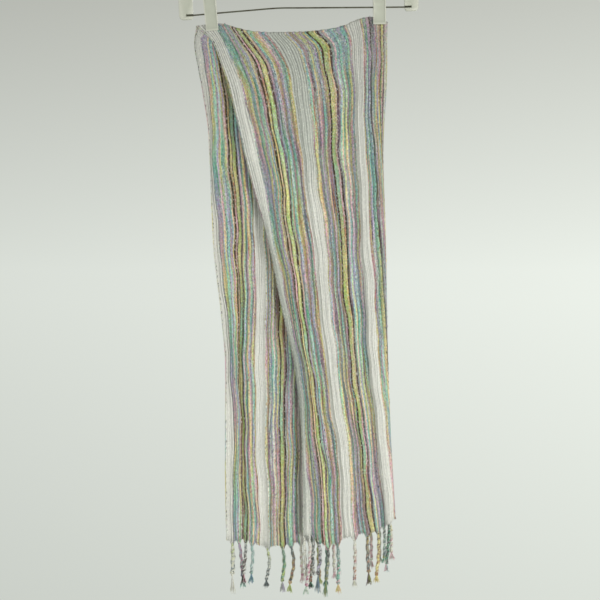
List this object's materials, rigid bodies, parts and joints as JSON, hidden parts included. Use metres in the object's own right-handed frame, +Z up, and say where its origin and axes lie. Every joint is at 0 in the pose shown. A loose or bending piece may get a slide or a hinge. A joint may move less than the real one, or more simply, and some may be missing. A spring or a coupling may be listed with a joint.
{
  "type": "woven scarf on clip hanger",
  "caption": "Long crinkled woven scarf with warp stripes and a knotted fringe, folded in half and held by the clips of a plastic hanger.",
  "frame": {"origin": "the inside top of the hook, where a rail carries the hanger", "axes": "+Z up, -Y towards the front of the scarf, X along the hanger"},
  "size_m": [0.3848, 0.0335, 1.1361],
  "materials": {
    "woven_cloth": "loose crinkled weave with pastel warp stripes and metallic glints",
    "fringe_cord": "twisted many-coloured yarn",
    "white_plastic": "moulded, slightly glossy",
    "dark_steel": "drawn wire"
  },
  "bodies": {
    "root": {"front_fall": "woven_cloth", "back_fall": "woven_cloth", "front_fringe": "fringe_cord", "back_fringe": "fringe_cord", "hanger_body": "white_plastic", "hanger_hook": "dark_steel", "hanger_bar": "dark_steel", "clip_left_front": "white_plastic", "clip_left_back": "white_plastic", "clip_left_spring": "dark_steel", "clip_right_front": "white_plastic", "clip_right_back": "white_plastic", "clip_right_spring": "dark_steel"}
  },
  "joints": []
}
